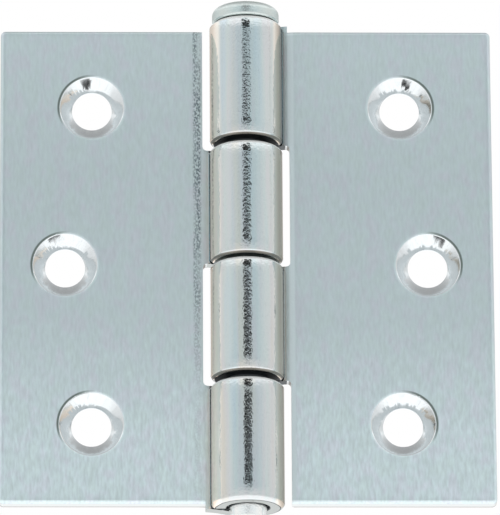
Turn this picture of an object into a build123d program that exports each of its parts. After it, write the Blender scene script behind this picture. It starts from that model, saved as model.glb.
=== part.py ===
from build123d import *
import os
from math import cos, radians, sin

# A rolled steel butt hinge, opened flat.
# X runs across the leaves, Y points away from the viewer, Z runs up along the pin.
# The origin is on the pin's axis, at half the height of the leaves.

# Leaves
leaf_height = 80.0
leaf_reach = 40.0             # pin axis to the free edge of a leaf
sheet = 2.5                   # thickness of the steel
closed_gap = 0.6              # between the leaves when the hinge is shut
corner_radius = 0.8           # free corners of a leaf
edge_rollover = 0.6           # front edges, drawn round when the blank was punched

# Knuckles
bore_radius = 3.4
crank_turn = 40.0             # degrees that the sheet bends back before it rolls
seam_gap = 0.2                # between the rolled end and the crank
knuckle_overhang = 0.9        # end knuckles stand past the leaf's own edge
overhang_reach = 6.8          # pin axis to the step beside an end knuckle
end_knuckle = 20.55           # length of the first and of the last knuckle
wide_gap = 0.85               # between knuckles 1 and 2, and between 3 and 4
middle_gap = 0.45             # between knuckles 2 and 3
knuckle_edge = 0.45           # broken edge round a knuckle's ends

# Slots beside the knuckles of the other leaf
slot_clearance = 1.2          # between a slot's edge and the other leaf's knuckle
slot_corner_radius = 0.7

# Pin
pin_clearance = 0.05          # radial, inside the bores
head_radius = 5.45
head_rim = 2.2                # height of the head's straight side, before its rounding
head_height = 3.3
head_edge = 0.35              # broken edge under the head
head_shoulder = 1.2           # rounding between the side and the dome
head_gap = 0.1                # under the head, so that the leaves swing freely
tail_inset = 0.25             # radial, the pin's lower end is turned down by this much
tail_step = 0.5               # the turned-down end starts this far inside the barrel
tail_length = 2.7             # below the barrel
tail_edge = 1.0               # rounding at the tip

# Screw holes
hole_radius = 3.25
countersink_radius = 5.35
hole_spacing = 53.6           # first hole to third hole
hole_offset = 25.1            # pin axis to the first and the third hole
middle_hole_offset = 29.4     # pin axis to the middle hole

same = 0.001                  # two places this close are one place

# Sizes that follow
leaf_front = closed_gap / 2
leaf_back = leaf_front + sheet
leaf_half = leaf_height / 2
knuckle_radius = bore_radius + sheet
barrel_half = leaf_half + knuckle_overhang
slot_edge = knuckle_radius + slot_clearance
pin_radius = bore_radius - pin_clearance
countersink_depth = countersink_radius - hole_radius    # a right-angled cone

# Knuckle ends of the right leaf, from the top; the left leaf is the same part turned over.
first_low = barrel_half - end_knuckle
third_high = -middle_gap / 2
third_low = wide_gap - first_low

# The crank is one bend, tangent to the flat leaf and to the rolled sheet.
roll_middle = bore_radius + sheet / 2
leaf_middle = leaf_front + sheet / 2
crank = radians(crank_turn)
bend_middle = (roll_middle * cos(crank) - leaf_middle) / (1 - cos(crank))
front_bend = bend_middle + sheet / 2
back_bend = bend_middle - sheet / 2
bend_x = (roll_middle + bend_middle) * sin(crank)
bend_y = leaf_middle + bend_middle


def on_circle(radius, angle, x=0.0, y=0.0):
    """A point at an angle, in degrees, on a circle round a centre."""
    return (x + radius * cos(radians(angle)), y + radius * sin(radians(angle)))


def leaf_section():
    """The bent sheet seen along the pin: flat leaf, crank and rolled knuckle."""
    crank_y = bend_y - (front_bend**2 - (bend_x - knuckle_radius) ** 2) ** 0.5
    seam_turn = (crank_y - seam_gap) / knuckle_radius / radians(1)
    join_angle = 90 - crank_turn
    end_angle = 360 + seam_turn
    roll_angle = (join_angle + end_angle) / 2
    bend_angle = 270 - crank_turn / 2

    free_front = (leaf_reach, leaf_front)
    free_back = (leaf_reach, leaf_back)
    bend_front = (bend_x, leaf_front)
    bend_back = (bend_x, leaf_back)
    crank_front = on_circle(front_bend, bend_angle, bend_x, bend_y)
    crank_back = on_circle(back_bend, bend_angle, bend_x, bend_y)
    join_inside = on_circle(bore_radius, join_angle)
    join_outside = on_circle(knuckle_radius, join_angle)
    end_inside = on_circle(bore_radius, end_angle)
    end_outside = on_circle(knuckle_radius, end_angle)

    outline = [
        Line(free_front, bend_front),
        ThreePointArc(bend_front, crank_front, join_inside),
        ThreePointArc(join_inside, on_circle(bore_radius, roll_angle), end_inside),
        Line(end_inside, end_outside),
        ThreePointArc(end_outside, on_circle(knuckle_radius, roll_angle), join_outside),
        ThreePointArc(join_outside, crank_back, bend_back),
        Line(bend_back, free_back),
        Line(free_back, free_front),
    ]
    return make_face(Wire(outline))


def rectangle(x_low, x_high, z_low, z_high):
    """A rectangle in the plane of the leaves."""
    middle = Pos((x_low + x_high) / 2, (z_low + z_high) / 2)
    return middle * Rectangle(x_high - x_low, z_high - z_low)


def corners_at(sketch, x, heights):
    """The corners of a flat outline at one x and at the given heights."""
    found = []
    for corner in sketch.vertices():
        for height in heights:
            if abs(corner.X - x) < same and abs(corner.Y - height) < same:
                found.append(corner)
    return found


def blank_outline():
    """The leaf and its two knuckles seen from the front."""
    past_barrel = -knuckle_radius - slot_clearance
    leaf = rectangle(slot_edge, leaf_reach, -leaf_half, leaf_half)
    first = rectangle(past_barrel, overhang_reach, first_low, barrel_half)
    first_root = rectangle(past_barrel, slot_edge, first_low, leaf_half)
    third = rectangle(past_barrel, slot_edge, third_low, third_high)
    outline = leaf + first + first_root + third
    slot_corners = corners_at(outline, slot_edge, [first_low, third_high, third_low])
    outline = fillet(slot_corners, slot_corner_radius)
    return fillet(corners_at(outline, leaf_reach, [-leaf_half, leaf_half]), corner_radius)


def screw_hole():
    """A countersunk hole, pointing away from the viewer, with its mouth at the origin."""
    from_mouth = (Align.CENTER, Align.CENTER, Align.MIN)
    drill = Cylinder(hole_radius, sheet, align=from_mouth)
    cone = Cone(countersink_radius, hole_radius, countersink_depth, align=from_mouth)
    return Rot(X=-90) * (drill + cone)


def make_leaf():
    """The right leaf, with the first and the third knuckle."""
    bent = Pos(Z=-barrel_half) * extrude(leaf_section(), amount=2 * barrel_half)
    blank = extrude(Plane.XZ * blank_outline(), amount=2 * knuckle_radius, both=True)
    leaf = bent & blank

    front_edges = leaf.edges().filter_by(on_front_rim)
    leaf = fillet(front_edges, edge_rollover)

    knuckle_ends = leaf.edges().filter_by(on_knuckle_end)
    leaf = chamfer(knuckle_ends, knuckle_edge)

    hole_places = [
        (hole_offset, hole_spacing / 2),
        (middle_hole_offset, 0.0),
        (hole_offset, -hole_spacing / 2),
    ]
    for x, z in hole_places:
        leaf -= Pos(x, leaf_front, z) * screw_hole()
    return leaf


def on_front_rim(edge):
    """Whether an edge borders the flat front face at the top, bottom or free side."""
    box = edge.bounding_box()
    flat = abs(box.min.Y - leaf_front) < same and box.size.Y < same
    at_end = box.size.Z < same and abs(abs(box.max.Z) - leaf_half) < same
    at_side = abs(box.max.X - leaf_reach) < same
    return flat and (at_end or at_side)


def on_knuckle_end(edge):
    """Whether an edge is the outer circle at an end of a knuckle."""
    box = edge.bounding_box()
    level = box.size.Z < same
    return level and abs(box.min.X + knuckle_radius) < same


def cap_radius(rim_radius, rise):
    """Radius of the sphere whose cap has this rim and this rise."""
    return (rim_radius**2 + rise**2) / (2 * rise)


def make_pin():
    """The fixed pin: domed head, shank and turned-down tail."""
    head_seat = barrel_half + head_gap
    head_top = head_seat + head_height
    head_rim_end = head_seat + head_rim
    head_sphere = cap_radius(head_radius, head_height - head_rim)
    tail_radius = pin_radius - tail_inset
    tail_start = tail_step - barrel_half
    tail_tip = -barrel_half - tail_length

    outline = [
        Line((0, tail_tip), (tail_radius, tail_tip)),
        Line((tail_radius, tail_tip), (tail_radius, tail_start)),
        Line((tail_radius, tail_start), (pin_radius, tail_start)),
        Line((pin_radius, tail_start), (pin_radius, head_seat)),
        Line((pin_radius, head_seat), (head_radius, head_seat)),
        Line((head_radius, head_seat), (head_radius, head_rim_end)),
        RadiusArc((head_radius, head_rim_end), (0, head_top), -head_sphere),
        Line((0, head_top), (0, tail_tip)),
    ]
    section = make_face(Wire(outline))
    section = chamfer(corners_at(section, head_radius, [head_seat]), head_edge)
    section = fillet(corners_at(section, head_radius, [head_rim_end]), head_shoulder)
    section = fillet(corners_at(section, tail_radius, [tail_tip]), tail_edge)
    return revolve(Plane.XZ * section, Axis.Z)


right_leaf = make_leaf()
left_leaf = Rot(Y=180) * right_leaf
hinge_pin = make_pin()

os.makedirs("parts", exist_ok=True)
export_step(left_leaf, "parts/left_leaf.step")
export_step(right_leaf, "parts/right_leaf.step")
export_step(hinge_pin, "parts/hinge_pin.step")
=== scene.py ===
from math import asin, cos, pi, radians, sin, sqrt

import bmesh
import bpy
from mathutils import Matrix, Vector


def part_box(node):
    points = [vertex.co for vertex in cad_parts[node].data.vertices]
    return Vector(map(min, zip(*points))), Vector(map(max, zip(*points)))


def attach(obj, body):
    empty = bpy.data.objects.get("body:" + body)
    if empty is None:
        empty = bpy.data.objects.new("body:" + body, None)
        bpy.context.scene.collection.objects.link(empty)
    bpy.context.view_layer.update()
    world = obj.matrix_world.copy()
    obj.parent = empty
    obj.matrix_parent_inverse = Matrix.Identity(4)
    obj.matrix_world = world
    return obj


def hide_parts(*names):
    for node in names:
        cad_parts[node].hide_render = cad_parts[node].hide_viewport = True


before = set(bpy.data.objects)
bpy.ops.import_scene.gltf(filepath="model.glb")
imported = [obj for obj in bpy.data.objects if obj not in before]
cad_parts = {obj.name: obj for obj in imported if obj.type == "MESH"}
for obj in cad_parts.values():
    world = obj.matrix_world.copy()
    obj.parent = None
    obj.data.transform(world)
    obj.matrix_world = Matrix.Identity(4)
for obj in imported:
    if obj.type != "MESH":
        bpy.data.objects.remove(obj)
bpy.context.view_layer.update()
mm = 0.001
scene = bpy.context.scene
print("Loaded the packed hinge:", ", ".join(sorted(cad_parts)))


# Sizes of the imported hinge, in millimetres
leafLow, leafHigh = [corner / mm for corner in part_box("right_leaf")]
pinLow, pinHigh = [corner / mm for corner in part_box("hinge_pin")]
knuckleRadius = -leafLow.x
barrelHalf = leafHigh.z
overhang = 0.9                # knuckles 1 and 4 stand past the leaf by this much
leafHalf = barrelHalf - overhang
closedGap = 0.6
leafFront = closedGap / 2
sheet = 2.5
screwHoles = [(25.1, 26.8), (29.4, 0.0), (25.1, -26.8)]    # beside and up the pin axis
mouthRadius = 5.35


# Camera, a little below the hinge and a hair to its left
camera = {
    "azimuth": -1.36,         # degrees, from straight in front towards the right
    "elevation": -17.4,
    "roll": -0.33,
    "distance": 1100.0,       # mm
    "pixelsPerMm": 6.178,     # in the 500 x 515 image
    "target": (0.53, 0.0, 1.12),
    "imageHeight": 515,
    "sensorHeight": 24.0,
}


def makeCamera(settings):
    azimuth = radians(settings["azimuth"])
    elevation = radians(settings["elevation"])
    towardsCamera = Vector((
        sin(azimuth) * cos(elevation),
        -cos(azimuth) * cos(elevation),
        sin(elevation),
    ))
    made = bpy.data.objects.new("camera", bpy.data.cameras.new("camera"))
    scene.collection.objects.link(made)
    scene.camera = made
    roll = Matrix.Rotation(radians(settings["roll"]), 4, "Z").to_quaternion()
    made.location = (Vector(settings["target"]) + towardsCamera * settings["distance"]) * mm
    made.rotation_euler = (towardsCamera.to_track_quat("Z", "Y") @ roll).to_euler()
    made.data.sensor_fit = "VERTICAL"
    made.data.sensor_height = settings["sensorHeight"]
    viewHeight = settings["imageHeight"] / settings["pixelsPerMm"]
    made.data.lens = settings["sensorHeight"] * settings["distance"] / viewHeight


makeCamera(camera)
scene.view_settings.view_transform = "Standard"
print("Camera placed")


# Colours are written as sRGB hex, and Blender wants them linear
def linear(hexColour):
    channels = []
    for start in (1, 3, 5):
        value = int(hexColour[start:start + 2], 16) / 255
        if value <= 0.04045:
            channels.append(value / 12.92)
        else:
            channels.append(((value + 0.055) / 1.055) ** 2.4)
    return (*channels, 1)


# Adds one node. Settings are the node's own, an input is a value or another node's socket,
# and stops are a colour ramp's places and colours.
def addNode(tree, kind, settings=None, inputs=None, stops=None):
    made = tree.nodes.new("ShaderNode" + kind)
    for name, value in (settings or {}).items():
        setattr(made, name, value)
    for name, value in (inputs or {}).items():
        if isinstance(value, bpy.types.NodeSocket):
            tree.links.new(value, made.inputs[name])
        else:
            made.inputs[name].default_value = value
    if stops:
        elements = made.color_ramp.elements
        while len(elements) < len(stops):
            elements.new(1)
        for element, (place, colour) in zip(elements, stops):
            element.position = place
            element.color = colour
    return made


# Soft studio light from all round. The panels leave a dark upright gap in front, where the
# camera looks through, and every round surface of the hinge shows that gap as a dark line.
# Small pale things stand in the gap, so the line comes out speckled.
studio = {
    "byHeight": [             # sine of the height above the horizon, brightness
        (-1.0, 1.5),
        (-0.6, 1.45),
        (-0.34, 1.12),
        (-0.02, 0.98),
        (0.2, 0.93),
        (0.42, 0.97),
        (0.52, 1.38),
        (0.6, 1.38),
        (0.76, 1.0),
        (1.0, 0.64),
    ],
    "byDepth": [              # -1 is in front of the hinge and 1 behind it, share of the light
        (-1.0, (0.7, 0.79, 0.83)),
        (-0.8, (0.8, 0.89, 0.92)),
        (-0.5, (0.97, 1.0, 1.0)),
        (0.0, (1.02, 1.0, 0.98)),
        (0.4, (0.92, 0.95, 0.96)),
        (0.75, (0.75, 0.77, 0.78)),
        (1.0, (0.66, 0.66, 0.64)),
    ],
    "behindAbove": 0.66,      # share of the light that is left up behind the hinge
    "aboveFrom": 0.4,         # sine of the height where that begins, and where it is full
    "aboveTo": 0.65,
    "behindTo": 0.3,          # depth where it is full
    "colouredHeights": [      # sine of the height, how far the light by depth counts
        (0.0, 0.0),
        (0.2, 1.0),
        (0.4, 1.0),
        (0.55, 0.0),
    ],
    "gapInside": 0.18,        # the gap's half width, as the sine of the angle beside it
    "gapOutside": 0.24,
    "gapBrightness": 0.015,
    "clutterScale": 30.0,     # pale things in the gap, across a unit of direction
    "clutterFrom": 0.32,      # places in the noise where a thing is dark and where it is pale
    "clutterTo": 0.68,
    "clutterEdge": 0.1,
    "gapByHeight": [          # sine of the height, how far the gap is open there
        (0.04, 0.0),
        (0.2, 0.35),
        (0.25, 1.0),
        (0.29, 1.0),
        (0.325, 0.26),        # more pale things stand at this height
        (0.37, 0.16),
        (0.41, 1.0),
        (0.5, 1.0),
        (0.57, 0.0),
    ],
    "floorHeight": -420.0,    # mm
    "floorSize": 6000.0,
    "floorColour": "#f4f5f5",
    "floorRoughness": 0.9,
}


def grey(value):
    return (value, value, value, 1)


def heightStops(pairs):
    return [((height + 1) / 2, grey(value)) for height, value in pairs]


def makeStudio(settings):
    world = bpy.data.worlds.new("studio")
    scene.world = world
    world.use_nodes = True
    tree = world.node_tree
    tree.nodes.clear()
    direction = addNode(tree, "TexCoord").outputs["Generated"]
    parts = addNode(tree, "SeparateXYZ", inputs={0: direction})
    sideways, depth, height = parts.outputs

    heightShare = addNode(tree, "MapRange", inputs={
        "Value": height,
        "From Min": -1,
        "From Max": 1,
    }).outputs[0]
    lightStops = heightStops(settings["byHeight"])
    light = addNode(tree, "ValToRGB", inputs={0: heightShare}, stops=lightStops)

    above = addNode(tree, "MapRange", {"interpolation_type": "SMOOTHSTEP"}, {
        "Value": height,
        "From Min": settings["aboveFrom"],
        "From Max": settings["aboveTo"],
    }).outputs[0]
    behind = addNode(tree, "MapRange", {"interpolation_type": "SMOOTHSTEP"}, {
        "Value": depth,
        "From Max": settings["behindTo"],
    }).outputs[0]
    behindAbove = addNode(tree, "Math", {"operation": "MULTIPLY"}, {0: above, 1: behind}).outputs[0]
    behindShare = addNode(tree, "MapRange", inputs={
        "Value": behindAbove,
        "To Min": 1.0,
        "To Max": settings["behindAbove"],
    }).outputs[0]

    beside = addNode(tree, "Math", {"operation": "ABSOLUTE"}, {0: sideways}).outputs[0]
    inGap = addNode(tree, "MapRange", {"interpolation_type": "SMOOTHSTEP"}, {
        "Value": beside,
        "From Min": settings["gapInside"],
        "From Max": settings["gapOutside"],
        "To Min": 1.0,
        "To Max": 0.0,
    }).outputs[0]
    inFront = addNode(tree, "Math", {"operation": "LESS_THAN"}, {0: depth, 1: 0.0}).outputs[0]
    openings = heightStops(settings["gapByHeight"])
    gapOpen = addNode(tree, "ValToRGB", inputs={0: heightShare}, stops=openings)
    gap = addNode(tree, "Math", {"operation": "MULTIPLY"}, {0: inGap, 1: inFront}).outputs[0]
    gap = addNode(tree, "Math", {"operation": "MULTIPLY"}, {0: gap, 1: gapOpen.outputs[0]}).outputs[0]
    clutter = addNode(tree, "TexNoise", inputs={
        "Vector": direction,
        "Scale": settings["clutterScale"],
        "Detail": 1,
    })
    pale = addNode(tree, "MapRange", inputs={
        "Value": clutter.outputs["Fac"],
        "From Min": settings["clutterFrom"],
        "From Max": settings["clutterTo"],
    }).outputs[0]
    dark = addNode(tree, "Math", {"operation": "SUBTRACT"}, {0: gap, 1: pale}).outputs[0]
    gap = addNode(tree, "MapRange", inputs={
        "Value": dark,
        "From Min": -settings["clutterEdge"],
        "From Max": settings["clutterEdge"],
    }).outputs[0]
    gap = addNode(tree, "Math", {"operation": "MULTIPLY"}, {0: gap, 1: inFront}).outputs[0]

    depthShare = addNode(tree, "MapRange", inputs={
        "Value": depth,
        "From Min": -1,
        "From Max": 1,
    }).outputs[0]
    depthStops = [((place + 1) / 2, (*share, 1)) for place, share in settings["byDepth"]]
    byDepth = addNode(tree, "ValToRGB", inputs={0: depthShare}, stops=depthStops)
    coloured = heightStops(settings["colouredHeights"])
    atEyeHeight = addNode(tree, "ValToRGB", inputs={0: heightShare}, stops=coloured)
    byDepth = addNode(tree, "MixRGB", inputs={
        "Fac": atEyeHeight.outputs[0],
        "Color1": grey(1),
        "Color2": byDepth.outputs[0],
    })
    light = addNode(tree, "MixRGB", {"blend_type": "MULTIPLY"}, {
        "Fac": 1,
        "Color1": light.outputs[0],
        "Color2": byDepth.outputs[0],
    })
    panels = addNode(tree, "MixRGB", {"blend_type": "MULTIPLY"}, {
        "Fac": 1,
        "Color1": light.outputs[0],
        "Color2": behindShare,
    })
    lit = addNode(tree, "MixRGB", inputs={
        "Fac": gap,
        "Color1": panels.outputs[0],
        "Color2": grey(settings["gapBrightness"]),
    })
    around = addNode(tree, "Background", inputs={"Color": lit.outputs[0]})
    backdrop = addNode(tree, "Background", inputs={"Color": grey(1)})
    seen = addNode(tree, "LightPath").outputs["Is Camera Ray"]
    both = addNode(tree, "MixShader", inputs={0: seen, 1: around.outputs[0], 2: backdrop.outputs[0]})
    addNode(tree, "OutputWorld", inputs={"Surface": both.outputs[0]})

    # Matt white paper, which gives the eye nothing but a pale ground
    paper = bpy.data.materials.new("matt_white_paper")
    paper.use_nodes = True
    shader = paper.node_tree.nodes["Principled BSDF"]
    shader.inputs["Base Color"].default_value = linear(settings["floorColour"])
    shader.inputs["Roughness"].default_value = settings["floorRoughness"]

    ground = bmesh.new()
    bmesh.ops.create_grid(ground, x_segments=1, y_segments=1, size=settings["floorSize"] / 2 * mm)
    bmesh.ops.translate(ground, vec=(0, 0, settings["floorHeight"] * mm), verts=ground.verts)
    floor = objectFrom(ground, "floor", [paper])
    floor.visible_glossy = False    # the steel reflects the panels, brighter than paper is


def objectFrom(bm, name, materials):
    mesh = bpy.data.meshes.new(name)
    bm.to_mesh(mesh)
    bm.free()
    made = bpy.data.objects.new(name, mesh)
    scene.collection.objects.link(made)
    for material in materials:
        mesh.materials.append(material)
    return made


# A black card lies low in front, out of the camera's sight. The upper slopes of the
# countersinks show it as a dark wedge.
blackCard = {
    "place": (0.0, -28.0, -56.8),    # mm
    "width": 40.0,
    "depth": 22.5,
    "tilt": 36.0,             # degrees, nearly edge on to the barrel's lower end
    "brightness": 0.0,
}


def makeBlackCard(settings):
    black = bpy.data.materials.new("matt_black_card")
    black.use_nodes = True
    tree = black.node_tree
    tree.nodes.clear()
    shader = addNode(tree, "Emission", inputs={"Color": grey(settings["brightness"])})
    addNode(tree, "OutputMaterial", inputs={"Surface": shader.outputs[0]})
    card = bmesh.new()
    bmesh.ops.create_grid(card, x_segments=1, y_segments=1, size=0.5 * mm)
    bmesh.ops.scale(card, vec=(settings["width"], settings["depth"], 1), verts=card.verts)
    tilt = Matrix.Rotation(radians(settings["tilt"]), 3, "X")
    bmesh.ops.rotate(card, cent=(0, 0, 0), matrix=tilt, verts=card.verts)
    bmesh.ops.translate(card, vec=Vector(settings["place"]) * mm, verts=card.verts)
    made = objectFrom(card, "black_card", [black])
    made.visible_camera = False
    made.visible_diffuse = False
    made.visible_shadow = False


makeStudio(studio)
makeBlackCard(blackCard)
print("Studio lit")


# A material's tree with its metal shader, ready for nodes
def startMaterial(name):
    material = bpy.data.materials.new(name)
    material.use_nodes = True
    tree = material.node_tree
    shader = tree.nodes["Principled BSDF"]
    shader.inputs["Metallic"].default_value = 1
    return material, tree, shader


# Noise whose features measure so many millimetres along x, y and z
def noiseInputs(tree, size, detail):
    where = addNode(tree, "TexCoord").outputs["Object"]
    stretched = addNode(tree, "Mapping", inputs={
        "Vector": where,
        "Scale": [1 / (length * mm) for length in size],
    })
    return {"Vector": stretched.outputs[0], "Scale": 1, "Detail": detail}


# Bright zinc over rolled sheet steel. The eye gets a pale blue-grey satin with faint clouds of lilac
# and green from the passivation, fine marks down the sheet from the rolling mill, and knuckles
# rubbed glossy by the rolling die, with a painted sheen on their front sides, lighter on the left
# and darker on the right. More painted light and shade: the leaf lighter towards its lower end,
# bands along the cranks, arcs by the holes and the joint beside the top knuckle.
sheetZinc = {
    "leafTints": [            # place in the noise and colour, from green to lilac
        (0.36, "#cbd9da"),
        (0.5, "#ccd9dc"),
        (0.64, "#ced6dc"),
    ],
    "cloudSize": (2.4, 2.4, 4.0),
    "paintedLightByLength": [             # mm up the leaf, share of the colour: painted light, lighter towards the lower end
        (-40.0, 1.18),
        (-30.0, 1.16),
        (-10.0, 1.0),
        (15.0, 0.97),
        (40.0, 1.03),
    ],
    "fleckSize": (0.4, 0.4, 1.6),
    "fleckDepth": 0.2,        # half of the colour's swing
    "fleckDepthLow": 0.42,    # near the lower edge
    "fleckLowTo": -0.7,       # share of the leaf's half height
    "fleckLowFrom": -0.2,
    "knuckleTints": [         # place in the noise and colour
        (0.3, "#d4d3cd"),
        (0.45, "#d0d2d4"),
        (0.55, "#ccd4d4"),
        (0.7, "#c6d2d8"),
    ],
    "streakSize": (2.6, 2.6, 40.0),
    "paintedSideSheen": [            # mm across the knuckle, colour: painted sheen, lighter on the left side, and painted shade on the right
        (-5.6, "#f6e3d2"),
        (-5.1, "#fcefe2"),
        (-4.6, "#f5f1e9"),
        (4.6, "#e9e3da"),
        (5.1, "#d1c5b7"),
        (5.6, "#b8ac9d"),
    ],
    "warmFrom": 4.1,          # mm either side of the pin axis
    "warmTo": 4.7,
    "warmBack": 0.2,          # mm behind the pin axis, past which the sides aren't warm
    "skin": 0.05,             # mm past the knuckle's radius that still count as knuckle
    "leafRoughness": 0.5,
    "knuckleRoughness": 0.08,
    "rimFrom": 0.75,          # mm in from the leaf's edges, which the punch burnished
    "rimTo": 0.95,
    "rimRoughness": 0.42,
    "paintedCrankBands": [           # mm along x and across, colour, speckled share, share low down: speckled painted shade along the left leaf's crank and a painted highlight along the right leaf's
        (-8.0, 1.7, "#77848a", 1.0, 0.15),
        (7.3, 1.4, "#dce8eb", 0.1, 1.0),
    ],
    "bandSolid": 0.4,         # share of a band's width, in its middle, that is solid
    "lowFrom": -20.0,         # mm up the leaf, where a band has its low share
    "lowTo": 2.0,
    "speckleSize": (0.28, 0.28, 0.4),    # of the specks in a band
    "speckleFrom": 0.4,       # places in the noise
    "speckleTo": 0.58,
    "patchSize": (1.4, 1.4, 9.0),        # the specks come in patches
    "patchFrom": 0.35,
    "patchTo": 0.6,
    "patchLeast": 0.25,
    "arcShadeColour": "#75807d",   # painted shade half round each hole, on its side away from the pin and upwards
    "arcWidth": 0.35,         # mm
    "arcTowards": (0.87, 0.0, 0.5),
    "arcFrom": 0.3,           # shares of the mouth's radius that way, none and full
    "arcFull": 0.9,
    "paintedJointShade": [           # mm from the pin axis, share of the colour beside the top knuckle: painted shade in the joint
        (5.3, 1.0),
        (5.65, 0.5),
        (5.9, 0.75),
        (6.3, 0.95),
        (8.2, 1.0),
    ],
    "topKnuckleFrom": 17.5,   # mm up the leaf, where that shade begins and where it is full
    "topKnuckleFull": 19.5,
    "rubbedTo": 5.95,         # mm from the pin axis, fully rubbed inside this
    "unrubbedFrom": 6.5,
    # real marks are under 0.1 mm apart, too fine to show, so these are 0.4 mm
    "markSize": (0.4, 0.4, 14.0),
    "markHeight": 0.0012,
    # the plating's crystals are 0.02 mm, and a third of a millimetre is the least that shows
    "grainSize": (0.34, 0.34, 0.42),
    "grainHeight": 0.02,
}


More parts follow.
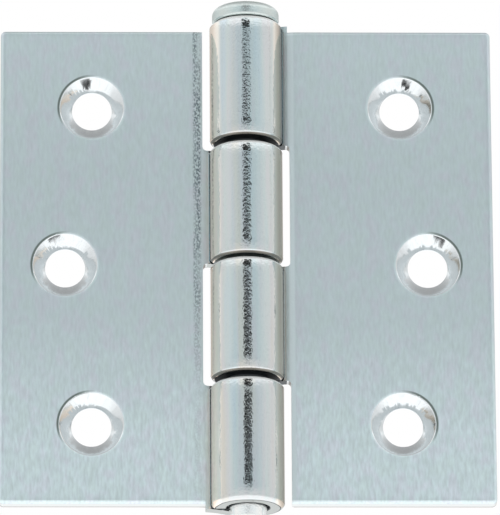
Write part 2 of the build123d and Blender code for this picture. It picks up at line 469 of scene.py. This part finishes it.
def makeSheetZinc(settings):
    material, tree, shader = startMaterial("bright_zinc_on_rolled_sheet")
    where = addNode(tree, "TexCoord").outputs["Object"]
    parts = addNode(tree, "SeparateXYZ", inputs={0: where})
    flat = addNode(tree, "CombineXYZ", inputs={0: parts.outputs[0], 1: parts.outputs[1]})
    radius = addNode(tree, "VectorMath", {"operation": "LENGTH"}, {0: flat.outputs[0]}).outputs["Value"]

    rubbed = addNode(tree, "MapRange", {"interpolation_type": "SMOOTHSTEP"}, {
        "Value": radius,
        "From Min": settings["rubbedTo"] * mm,
        "From Max": settings["unrubbedFrom"] * mm,
        "To Min": 1.0,
        "To Max": 0.0,
    }).outputs[0]

    clouds = addNode(tree, "TexNoise", inputs=noiseInputs(tree, settings["cloudSize"], 3))
    tintStops = [(place, linear(colour)) for place, colour in settings["leafTints"]]
    tints = addNode(tree, "ValToRGB", inputs={0: clouds.outputs["Fac"]}, stops=tintStops)
    beside = addNode(tree, "Math", {"operation": "ABSOLUTE"}, {0: parts.outputs[0]}).outputs[0]
    # Painted sheen and shade: the knuckles' front sides take colours lighter on the left and darker on
    # the right
    side = addNode(tree, "MapRange", {"interpolation_type": "SMOOTHSTEP"}, {
        "Value": beside,
        "From Min": settings["warmFrom"] * mm,
        "From Max": settings["warmTo"] * mm,
    }).outputs[0]
    onKnuckle = addNode(tree, "Math", {"operation": "LESS_THAN"}, {
        0: radius,
        1: (knuckleRadius + settings["skin"]) * mm,
    }).outputs[0]
    side = addNode(tree, "Math", {"operation": "MULTIPLY"}, {0: side, 1: onKnuckle}).outputs[0]
    onFront = addNode(tree, "Math", {"operation": "LESS_THAN"}, {
        0: parts.outputs[1],
        1: settings["warmBack"] * mm,
    }).outputs[0]
    side = addNode(tree, "Math", {"operation": "MULTIPLY"}, {0: side, 1: onFront}).outputs[0]
    streaks = addNode(tree, "TexNoise", inputs=noiseInputs(tree, settings["streakSize"], 2))
    streakStops = [(place, linear(colour)) for place, colour in settings["knuckleTints"]]
    streakTint = addNode(tree, "ValToRGB", inputs={0: streaks.outputs["Fac"]}, stops=streakStops)
    acrossKnuckle = addNode(tree, "MapRange", inputs={
        "Value": parts.outputs[0],
        "From Min": -knuckleRadius * mm,
        "From Max": knuckleRadius * mm,
    }).outputs[0]
    sheenStops = []
    for place, colour in settings["paintedSideSheen"]:
        sheenStops.append(((place / knuckleRadius + 1) / 2, linear(colour)))
    sideSheen = addNode(tree, "ValToRGB", inputs={0: acrossKnuckle}, stops=sheenStops)
    knuckleTint = addNode(tree, "MixRGB", inputs={
        "Fac": side,
        "Color1": streakTint.outputs[0],
        "Color2": sideSheen.outputs[0],
    })
    # Painted light: the leaf's colour is lighter towards its lower end
    upLeaf = addNode(tree, "MapRange", inputs={
        "Value": parts.outputs[2],
        "From Min": -leafHalf * mm,
        "From Max": leafHalf * mm,
    }).outputs[0]
    shares = [((length / leafHalf + 1) / 2, grey(share)) for length, share in settings["paintedLightByLength"]]
    paintedLightByLength = addNode(tree, "ValToRGB", inputs={0: upLeaf}, stops=shares)
    leafTint = addNode(tree, "MixRGB", {"blend_type": "MULTIPLY"}, {
        "Fac": 1,
        "Color1": tints.outputs[0],
        "Color2": paintedLightByLength.outputs[0],
    })
    flecks = addNode(tree, "TexNoise", inputs=noiseInputs(tree, settings["fleckSize"], 2)).outputs["Fac"]
    flecks = addNode(tree, "Math", {"operation": "SUBTRACT"}, {0: flecks, 1: 0.5}).outputs[0]
    fleckDepth = addNode(tree, "MapRange", inputs={
        "Value": parts.outputs[2],
        "From Min": settings["fleckLowTo"] * leafHalf * mm,
        "From Max": settings["fleckLowFrom"] * leafHalf * mm,
        "To Min": settings["fleckDepthLow"],
        "To Max": settings["fleckDepth"],
    }).outputs[0]
    fleckShare = addNode(tree, "Math", {"operation": "MULTIPLY_ADD"}, {
        0: flecks,
        1: fleckDepth,
        2: 1.0,
    }).outputs[0]
    leafTint = addNode(tree, "MixRGB", {"blend_type": "MULTIPLY"}, {
        "Fac": 1,
        "Color1": leafTint.outputs[0],
        "Color2": fleckShare,
    })

    speckle = addNode(tree, "TexNoise", inputs=noiseInputs(tree, settings["speckleSize"], 2))
    speckle = addNode(tree, "MapRange", inputs={
        "Value": speckle.outputs["Fac"],
        "From Min": settings["speckleFrom"],
        "From Max": settings["speckleTo"],
    }).outputs[0]
    patches = addNode(tree, "TexNoise", inputs=noiseInputs(tree, settings["patchSize"], 2))
    patches = addNode(tree, "MapRange", inputs={
        "Value": patches.outputs["Fac"],
        "From Min": settings["patchFrom"],
        "From Max": settings["patchTo"],
        "To Min": settings["patchLeast"],
    }).outputs[0]
    speckle = addNode(tree, "Math", {"operation": "MULTIPLY"}, {0: speckle, 1: patches}).outputs[0]
    onFace = addNode(tree, "Math", {"operation": "LESS_THAN"}, {
        0: parts.outputs[1],
        1: (leafFront + sheet / 2) * mm,
    }).outputs[0]
    # Painted shade along the left leaf's crank and a painted highlight along the right leaf's
    for place, width, bandColour, speckled, lowShare in settings["paintedCrankBands"]:
        fromBand = addNode(tree, "Math", {"operation": "SUBTRACT"}, {
            0: parts.outputs[0],
            1: place * mm,
        }).outputs[0]
        fromBand = addNode(tree, "Math", {"operation": "ABSOLUTE"}, {0: fromBand}).outputs[0]
        onBand = addNode(tree, "MapRange", {"interpolation_type": "SMOOTHSTEP"}, {
            "Value": fromBand,
            "From Min": settings["bandSolid"] * width / 2 * mm,
            "From Max": width / 2 * mm,
            "To Min": 1.0,
            "To Max": 0.0,
        }).outputs[0]
        cover = addNode(tree, "MapRange", inputs={
            "Value": speckle,
            "To Min": 1 - speckled,
        }).outputs[0]
        onBand = addNode(tree, "Math", {"operation": "MULTIPLY"}, {0: onBand, 1: cover}).outputs[0]
        highUp = addNode(tree, "MapRange", inputs={
            "Value": parts.outputs[2],
            "From Min": settings["lowFrom"] * mm,
            "From Max": settings["lowTo"] * mm,
            "To Min": lowShare,
        }).outputs[0]
        onBand = addNode(tree, "Math", {"operation": "MULTIPLY"}, {0: onBand, 1: highUp}).outputs[0]
        onBand = addNode(tree, "Math", {"operation": "MULTIPLY"}, {0: onBand, 1: onFace}).outputs[0]
        leafTint = addNode(tree, "MixRGB", inputs={
            "Fac": onBand,
            "Color1": leafTint.outputs[0],
            "Color2": linear(bandColour),
        })
    # Painted shade: a dark arc half round each hole's mouth
    inPlane = addNode(tree, "CombineXYZ", inputs={0: beside, 2: parts.outputs[2]}).outputs[0]
    for x, z in screwHoles:
        fromCentre = addNode(tree, "VectorMath", {"operation": "SUBTRACT"}, {
            0: inPlane,
            1: (x * mm, 0, z * mm),
        }).outputs[0]
        reach = addNode(tree, "VectorMath", {"operation": "LENGTH"}, {0: fromCentre}).outputs["Value"]
        onArc = addNode(tree, "MapRange", {"interpolation_type": "SMOOTHSTEP"}, {
            "Value": reach,
            "From Min": (mouthRadius + settings["arcWidth"] / 2) * mm,
            "From Max": (mouthRadius + settings["arcWidth"]) * mm,
            "To Min": 1.0,
            "To Max": 0.0,
        }).outputs[0]
        outward = addNode(tree, "VectorMath", {"operation": "DOT_PRODUCT"}, {
            0: fromCentre,
            1: settings["arcTowards"],
        }).outputs["Value"]
        farSide = addNode(tree, "MapRange", {"interpolation_type": "SMOOTHSTEP"}, {
            "Value": outward,
            "From Min": settings["arcFrom"] * mouthRadius * mm,
            "From Max": settings["arcFull"] * mouthRadius * mm,
        }).outputs[0]
        onArc = addNode(tree, "Math", {"operation": "MULTIPLY"}, {0: onArc, 1: farSide}).outputs[0]
        onArc = addNode(tree, "Math", {"operation": "MULTIPLY"}, {0: onArc, 1: onFace}).outputs[0]
        leafTint = addNode(tree, "MixRGB", inputs={
            "Fac": onArc,
            "Color1": leafTint.outputs[0],
            "Color2": linear(settings["arcShadeColour"]),
        })
    colour = addNode(tree, "MixRGB", inputs={
        "Fac": rubbed,
        "Color1": leafTint.outputs[0],
        "Color2": knuckleTint.outputs[0],
    })

    # Painted shade in the joint beside the top knuckle, on the right leaf only
    besideTop = addNode(tree, "MapRange", inputs={
        "Value": parts.outputs[0],
        "From Max": 2 * knuckleRadius * mm,
    }).outputs[0]
    shadeStops = [(place / knuckleRadius / 2, grey(share)) for place, share in settings["paintedJointShade"]]
    paintedJointShade = addNode(tree, "ValToRGB", inputs={0: besideTop}, stops=shadeStops)
    topKnuckle = addNode(tree, "MapRange", inputs={
        "Value": parts.outputs[2],
        "From Min": settings["topKnuckleFrom"] * mm,
        "From Max": settings["topKnuckleFull"] * mm,
    }).outputs[0]
    colour = addNode(tree, "MixRGB", {"blend_type": "MULTIPLY"}, {
        "Fac": topKnuckle,
        "Color1": colour.outputs[0],
        "Color2": paintedJointShade.outputs[0],
    })

    upright = addNode(tree, "Math", {"operation": "ABSOLUTE"}, {0: parts.outputs[2]}).outputs[0]
    toSide = addNode(tree, "Math", {"operation": "SUBTRACT"}, {0: leafHigh.x * mm, 1: beside}).outputs[0]
    toEnd = addNode(tree, "Math", {"operation": "SUBTRACT"}, {0: leafHalf * mm, 1: upright}).outputs[0]
    toEdge = addNode(tree, "Math", {"operation": "MINIMUM"}, {0: toSide, 1: toEnd}).outputs[0]
    leafRoughness = addNode(tree, "MapRange", {"interpolation_type": "SMOOTHSTEP"}, {
        "Value": toEdge,
        "From Min": settings["rimFrom"] * mm,
        "From Max": settings["rimTo"] * mm,
        "To Min": settings["rimRoughness"],
        "To Max": settings["leafRoughness"],
    }).outputs[0]
    roughness = addNode(tree, "MapRange", inputs={
        "Value": rubbed,
        "To Min": leafRoughness,
        "To Max": settings["knuckleRoughness"],
    })

    marks = addNode(tree, "TexNoise", inputs=noiseInputs(tree, settings["markSize"], 2))
    grain = addNode(tree, "TexNoise", inputs=noiseInputs(tree, settings["grainSize"], 1))
    rolled = addNode(tree, "Bump", inputs={
        "Height": marks.outputs["Fac"],
        "Distance": settings["markHeight"] * mm,
    })
    grainy = addNode(tree, "Bump", inputs={
        "Height": grain.outputs["Fac"],
        "Distance": settings["grainHeight"] * mm,
        "Normal": rolled.outputs[0],
    })
    tree.links.new(colour.outputs[0], shader.inputs["Base Color"])
    tree.links.new(roughness.outputs[0], shader.inputs["Roughness"])
    tree.links.new(grainy.outputs[0], shader.inputs["Normal"])
    return material


# Zinc over pressed steel. The punch left the countersinks smoother and whiter than the sheet.
pressedZinc = {
    "colour": "#d9dee0",
    "roughness": 0.12,
    # the punch left ripples under 0.1 mm apart, too fine to show, so these are 0.5 mm
    "rippleSize": (0.5, 0.5, 0.5),
    "rippleHeight": 0.0012,
}


def makePressedZinc(settings):
    material, tree, shader = startMaterial("bright_zinc_on_pressed_steel")
    shader.inputs["Base Color"].default_value = linear(settings["colour"])
    shader.inputs["Roughness"].default_value = settings["roughness"]
    ripples = addNode(tree, "TexNoise", inputs=noiseInputs(tree, settings["rippleSize"], 2))
    bump = addNode(tree, "Bump", inputs={
        "Height": ripples.outputs["Fac"],
        "Distance": settings["rippleHeight"] * mm,
    })
    tree.links.new(bump.outputs[0], shader.inputs["Normal"])
    return material


# Zinc over a sheared edge. Blanking leaves fine lines across the sheet's thickness.
shearedZinc = {
    "colour": "#e8ecec",
    "torn": "#a09a96",        # the last part of the thickness tears off and stays rough
    "tornFrom": 2.3,          # mm behind the pin axis
    "tornTo": 2.65,
    "roughness": 0.3,
    "lineSize": (0.3, 4.0, 0.3),
    "lineHeight": 0.01,
}


def makeShearedZinc(settings):
    material, tree, shader = startMaterial("bright_zinc_on_sheared_edge")
    where = addNode(tree, "TexCoord").outputs["Object"]
    depth = addNode(tree, "SeparateXYZ", inputs={0: where}).outputs[1]
    torn = addNode(tree, "MapRange", {"interpolation_type": "SMOOTHSTEP"}, {
        "Value": depth,
        "From Min": settings["tornFrom"] * mm,
        "From Max": settings["tornTo"] * mm,
    }).outputs[0]
    colour = addNode(tree, "MixRGB", inputs={
        "Fac": torn,
        "Color1": linear(settings["colour"]),
        "Color2": linear(settings["torn"]),
    })
    tree.links.new(colour.outputs[0], shader.inputs["Base Color"])
    shader.inputs["Roughness"].default_value = settings["roughness"]
    lines = addNode(tree, "TexNoise", inputs=noiseInputs(tree, settings["lineSize"], 2))
    bump = addNode(tree, "Bump", inputs={
        "Height": lines.outputs["Fac"],
        "Distance": settings["lineHeight"] * mm,
    })
    tree.links.new(bump.outputs[0], shader.inputs["Normal"])
    return material


# Zinc over the pin: a pale, faintly grained head and a bright turned tail.
headZinc = {
    "name": "bright_zinc_on_pin_head",
    "colour": "#cfd8d6",
    "roughness": 0.26,
    "dentSize": (0.35, 0.35, 0.35),
    "dentHeight": 0.04,
}
tailZinc = {
    "name": "bright_zinc_on_turned_tail",
    "colour": "#fafbfa",
    "roughness": 0.18,
    "dentSize": (0.3, 0.3, 0.3),
    "dentHeight": 0.03,
}


def makePinZinc(settings):
    material, tree, shader = startMaterial(settings["name"])
    shader.inputs["Base Color"].default_value = linear(settings["colour"])
    shader.inputs["Roughness"].default_value = settings["roughness"]
    dents = addNode(tree, "TexNoise", inputs=noiseInputs(tree, settings["dentSize"], 2))
    bump = addNode(tree, "Bump", inputs={
        "Height": dents.outputs["Fac"],
        "Distance": settings["dentHeight"] * mm,
    })
    tree.links.new(bump.outputs[0], shader.inputs["Normal"])
    return material


# Dull zinc painted dark as shade where the sheet's ends face each other between the knuckles, in
# the bore and on the shank. The gaps between the knuckles look nearly black with it.
gapShadeZinc = {
    "name": "zinc_painted_dark_in_gaps",
    "colour": "#5d6163",
    "roughness": 0.5,
}
# Worn zinc on the broken edge at a knuckle's lower end, where the eye sees a grey line
wornZinc = {
    "name": "worn_zinc_on_broken_edge",
    "colour": "#8a867f",
    "roughness": 0.35,
}
# Thin zinc on the rings at the barrel's ends and in its narrow middle gap, which look a shade
# greyer than the knuckles
ringZinc = {
    "name": "thin_zinc_on_barrel_end",
    "colour": "#b8bdbb",
    "roughness": 0.3,
}
# Tumbled zinc on the broken edge at a knuckle's upper end, a pale satin band where the gap
# above it lets light in
upperEdgeZinc = {
    "name": "tumbled_zinc_on_upper_edge",
    "colour": "#eff1f0",
    "roughness": 0.65,
}


def makePlainZinc(settings):
    material, tree, shader = startMaterial(settings["name"])
    shader.inputs["Base Color"].default_value = linear(settings["colour"])
    shader.inputs["Roughness"].default_value = settings["roughness"]
    return material


finishes = {
    "shaded gap": makePlainZinc(gapShadeZinc),
    "worn": makePlainZinc(wornZinc),
    "ring": makePlainZinc(ringZinc),
    "upper edge": makePlainZinc(upperEdgeZinc),
    "sheet": makeSheetZinc(sheetZinc),
    "pressed": makePressedZinc(pressedZinc),
    "sheared": makeShearedZinc(shearedZinc),
    "head": makePinZinc(headZinc),
    "tail": makePinZinc(tailZinc),
}
print("Zinc finishes mixed")


# Leaves: each packed leaf is copied and merged, its knuckles are crowned, their broken ends and
# the mouths of the countersinks are rounded, and the faces get their finish.
leafDetail = {
    "mergeDistance": 0.001,   # mm
    "flatAngle": 1.1,         # degrees, below which faces are joined
    "knuckleEdge": 0.45,      # width of the broken edge round a knuckle's ends
    "endAngle": 25,           # degrees, least fold of an edge that is rounded there
    "endRounding": 0.28,
    "endSegments": 3,
    "crownCuts": [0.6, 0.9, 1.4, 2.0, 2.8],    # mm from a knuckle's end
    "cutTolerance": 0.0001,
    "crownReach": 3.0,        # mm from a knuckle's end, past which it keeps its full size
    "crownDepth": 0.26,
    "crownFull": 2.0,         # mm in front of the pin axis, where the crown is full
    "boreRadius": 3.4,
    "boreEdge": 0.2,
    "mouthRounding": 0.34,
    "mouthSegments": 3,
    "smoothAngle": 50,        # degrees, least fold that stays sharp
    "finishOrder": ["sheet", "pressed", "sheared", "shaded gap", "worn", "ring", "upper edge"],
    "mouthSlack": 0.02,       # mm
    "coneWall": 0.95,         # a hole's walls face across the sheet by less than this share
    "levelFrom": 0.98,        # share of a face's normal along the pin
    "wornNormal": (-0.9, -0.5),    # least and most of that share
    "upperNormal": (0.3, 0.97),
    "narrowGap": 1.0,         # mm either side of the leaf's middle
    "wornFrom": 1.0,          # mm above the leaf's lower edge
    "edgeOn": 0.02,           # share of a sheared face's normal across the sheet
    "shearedFrom": 6.1,       # mm from the pin axis
}
closeEnough = 0.01            # mm


def fromAxis(point):
    return sqrt(point.x ** 2 + point.y ** 2) / mm


def close(first, second):
    return abs(first - second) < closeEnough


def nearestHole(point, side):
    distances = []
    for x, z in screwHoles:
        distances.append(sqrt((point.x / mm - side * x) ** 2 + (point.z / mm - z) ** 2))
    return min(distances)


def level(edge):
    return close(edge.verts[0].co.z / mm, edge.verts[1].co.z / mm)


def onKnuckleEnd(edge, settings):
    inner = knuckleRadius - settings["knuckleEdge"]
    radii = [fromAxis(vert.co) for vert in edge.verts]
    for outline in (knuckleRadius, inner):
        lowest = outline - settings["crownDepth"] - closeEnough
        nearby = all(lowest < radius < outline + closeEnough for radius in radii)
        steep = edge.calc_face_angle(0) > radians(settings["endAngle"])
        if level(edge) and nearby and steep:
            return True
    return False


def onBoreEnd(edge, settings):
    atEnd = close(abs(edge.verts[0].co.z / mm), barrelHalf)
    onBore = all(close(fromAxis(vert.co), settings["boreRadius"]) for vert in edge.verts)
    return level(edge) and atEnd and onBore


# Each knuckle swells a little between its ends
def crownKnuckles(bm, settings):
    inner = knuckleRadius - settings["knuckleEdge"]
    ends = set()
    for edge in bm.edges:
        if level(edge) and all(close(fromAxis(vert.co), inner) for vert in edge.verts):
            ends.add(round(edge.verts[0].co.z / mm, 2))
    ends = sorted(ends)
    knuckles = list(zip(ends[0::2], ends[1::2]))
    for low, high in knuckles:
        for cut in settings["crownCuts"]:
            for height in (low + cut, high - cut):
                skin = [face for face in bm.faces if onSkin(face)]
                parts = dict.fromkeys(skin)    # keeps its order, as a set wouldn't
                for face in skin:
                    parts.update(dict.fromkeys(face.edges))
                    parts.update(dict.fromkeys(face.verts))
                bmesh.ops.bisect_plane(
                    bm, geom=list(parts), dist=settings["cutTolerance"] * mm,
                    plane_co=(0, 0, height * mm), plane_no=(0, 0, 1),
                )
        for vert in bm.verts:
            height = vert.co.z / mm
            radius = fromAxis(vert.co)
            alongKnuckle = low - closeEnough < height < high + closeEnough
            onOutside = inner - closeEnough < radius < knuckleRadius + closeEnough
            if alongKnuckle and onOutside:
                toEnd = max(0, min(height - low, high - height))
                share = max(0, 1 - toEnd / settings["crownReach"]) ** 2
                front = min(1, max(0, -vert.co.y / mm / settings["crownFull"]))
                inward = settings["crownDepth"] * share * front / radius
                vert.co.x *= 1 - inward
                vert.co.y *= 1 - inward


def onSkin(face):
    return all(close(fromAxis(vert.co), knuckleRadius) for vert in face.verts)


def onMouth(edge, side):
    inFront = all(close(vert.co.y / mm, leafFront) for vert in edge.verts)
    distances = [nearestHole(vert.co, side) for vert in edge.verts]
    return inFront and all(close(distance, mouthRadius) for distance in distances)


# Which finish a face of a leaf has
def finishName(face, side, settings):
    middle = face.calc_center_median()
    radius = fromAxis(middle)
    height = middle.z / mm
    facing = face.normal
    levelFace = abs(facing.z) > settings["levelFrom"]
    inHole = nearestHole(middle, side) < mouthRadius + settings["mouthSlack"]
    if inHole and abs(facing.y) < settings["coneWall"]:
        return "pressed"
    # Facing knuckle ends in the wide gaps, and the bore below, get zinc painted dark as shade
    if levelFace and radius < knuckleRadius:
        atBarrelEnd = close(abs(height), barrelHalf)
        atNarrowGap = abs(height) < settings["narrowGap"]
        return "ring" if atBarrelEnd or atNarrowGap else "shaded gap"
    if radius < settings["boreRadius"] + settings["boreEdge"]:
        return "shaded gap"
    low, high = settings["wornNormal"]
    if low < facing.z < high and height > settings["wornFrom"] - leafHalf:
        return "worn"
    low, high = settings["upperNormal"]
    if low < facing.z < high and radius < knuckleRadius and middle.y < 0:
        return "upper edge"
    if abs(facing.y) < settings["edgeOn"] and (levelFace or radius > settings["shearedFrom"]):
        return "sheared"
    return "sheet"


def dressLeaf(nodeName, body, side, settings):
    bm = bmesh.new()
    bm.from_mesh(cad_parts[nodeName].data)
    bmesh.ops.remove_doubles(bm, verts=bm.verts, dist=settings["mergeDistance"] * mm)
    flat = radians(settings["flatAngle"])
    bmesh.ops.dissolve_limit(bm, angle_limit=flat, verts=bm.verts, edges=bm.edges)

    crownKnuckles(bm, settings)
    bores = [edge for edge in bm.edges if onBoreEnd(edge, settings)]
    bmesh.ops.bevel(
        bm, geom=bores, affect="EDGES", offset=settings["boreEdge"] * mm,
        segments=1, profile=0.5, material=-1,
    )
    ends = [edge for edge in bm.edges if onKnuckleEnd(edge, settings)]
    bmesh.ops.bevel(
        bm, geom=ends, affect="EDGES", offset=settings["endRounding"] * mm,
        segments=settings["endSegments"], profile=0.5, material=-1,
    )
    mouths = [edge for edge in bm.edges if onMouth(edge, side)]
    bmesh.ops.bevel(
        bm, geom=mouths, affect="EDGES", offset=settings["mouthRounding"] * mm,
        segments=settings["mouthSegments"], profile=0.5, material=-1,
    )
    print(nodeName, "rounded edges:", len(ends), len(mouths))

    order = settings["finishOrder"]
    for face in bm.faces:
        face.smooth = True
        face.material_index = order.index(finishName(face, side, settings))
    limit = radians(settings["smoothAngle"])
    for edge in bm.edges:
        edge.smooth = edge.calc_face_angle(0) < limit
    openEdges = [edge for edge in bm.edges if len(edge.link_faces) != 2]
    print(nodeName, "faces", len(bm.faces), "open edges", len(openEdges))

    piece = objectFrom(bm, "dressed_" + nodeName, [finishes[name] for name in order])
    weighted = piece.modifiers.new("weighted normals", "WEIGHTED_NORMAL")
    weighted.mode = "FACE_AREA"
    weighted.keep_sharp = True
    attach(piece, body)
    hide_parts(nodeName)


dressLeaf("left_leaf", "fixed_leaf", -1, leafDetail)
dressLeaf("right_leaf", "swinging_leaf", 1, leafDetail)
print("Leaves dressed")


# Pin: half of its outline is drawn from one vertex, clockwise from the top of the head,
# and turned about its axis.
pinShape = {
    "headRadius": 5.45,
    "headRim": 2.2,           # height of the straight side before its rounding
    "headHeight": 3.3,
    "shoulder": 1.2,
    "underRounding": 0.5,
    "shankRadius": 3.35,
    "tailRadius": 3.1,
    "tailTaper": 0.14,        # the thinner end narrows by this much
    "tailStep": 0.5,          # the thinner end starts this far inside the barrel
    "tailEdge": 1.0,
    "arcSteps": 8,
    "turnSteps": 96,
    "mergeDistance": 0.0005,  # mm
    "smoothAngle": 50,        # degrees, least fold that stays sharp
    "finishOrder": ["head", "shaded gap", "tail"],
}


def drawLine(bm, tip, x, z):
    made = bmesh.ops.extrude_vert_indiv(bm, verts=[tip])["verts"][0]
    made.co = Vector((x, 0, z)) * mm
    return made


def drawArc(bm, tip, centreX, centreZ, turn, steps):
    made = bmesh.ops.spin(
        bm, geom=[tip], cent=Vector((centreX, 0, centreZ)) * mm, axis=(0, 1, 0),
        angle=turn, steps=steps, use_duplicate=False,
    )
    return [part for part in made["geom_last"] if isinstance(part, bmesh.types.BMVert)][0]


def capRadius(rimRadius, rise):
    return (rimRadius ** 2 + rise ** 2) / (2 * rise)


def makePin(settings):
    bm = bmesh.new()
    steps = settings["arcSteps"]
    headSeat = pinHigh.z - settings["headHeight"]
    headRadius = settings["headRadius"]
    dome = capRadius(headRadius, settings["headHeight"] - settings["headRim"])
    domeCentre = pinHigh.z - dome
    shoulder = settings["shoulder"]
    shoulderX = headRadius - shoulder
    shoulderZ = domeCentre + sqrt((dome - shoulder) ** 2 - shoulderX ** 2)
    domeTurn = asin(shoulderX / (dome - shoulder))
    under = settings["underRounding"]

    tip = bm.verts.new(Vector((0, 0, pinHigh.z)) * mm)
    tip = drawArc(bm, tip, 0, domeCentre, domeTurn, steps)
    tip = drawArc(bm, tip, shoulderX, shoulderZ, pi / 2 - domeTurn, steps)
    tip = drawLine(bm, tip, headRadius, headSeat + under)
    tip = drawArc(bm, tip, headRadius - under, headSeat + under, pi / 2, steps)
    tip = drawLine(bm, tip, settings["shankRadius"], headSeat)
    tailRadius = settings["tailRadius"]
    tailEdge = settings["tailEdge"]
    tailStart = settings["tailStep"] - barrelHalf
    tip = drawLine(bm, tip, settings["shankRadius"], tailStart)
    tip = drawLine(bm, tip, tailRadius, tailStart)
    tipRadius = tailRadius - settings["tailTaper"]
    tip = drawLine(bm, tip, tipRadius, pinLow.z + tailEdge)
    tip = drawArc(bm, tip, tipRadius - tailEdge, pinLow.z + tailEdge, pi / 2, steps)
    drawLine(bm, tip, 0, pinLow.z)

    bmesh.ops.spin(
        bm, geom=bm.verts[:] + bm.edges[:], cent=(0, 0, 0), axis=(0, 0, 1), angle=2 * pi,
        steps=settings["turnSteps"], use_merge=True,
    )
    bmesh.ops.remove_doubles(bm, verts=bm.verts, dist=settings["mergeDistance"] * mm)
    bmesh.ops.recalc_face_normals(bm, faces=bm.faces)
    order = settings["finishOrder"]
    for face in bm.faces:
        face.smooth = True
        height = face.calc_center_median().z / mm
        # The shank inside the barrel gets zinc painted dark as shade
        if abs(height) < barrelHalf:
            face.material_index = order.index("shaded gap")
        elif height < 0:
            face.material_index = order.index("tail")
    limit = radians(settings["smoothAngle"])
    for edge in bm.edges:
        edge.smooth = edge.calc_face_angle(0) < limit
    print("pin open edges", len([edge for edge in bm.edges if len(edge.link_faces) != 2]))
    piece = objectFrom(bm, "turned_pin", [finishes[name] for name in order])
    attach(piece, "fixed_leaf")
    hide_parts("hinge_pin")


makePin(pinShape)
print("Pin turned")
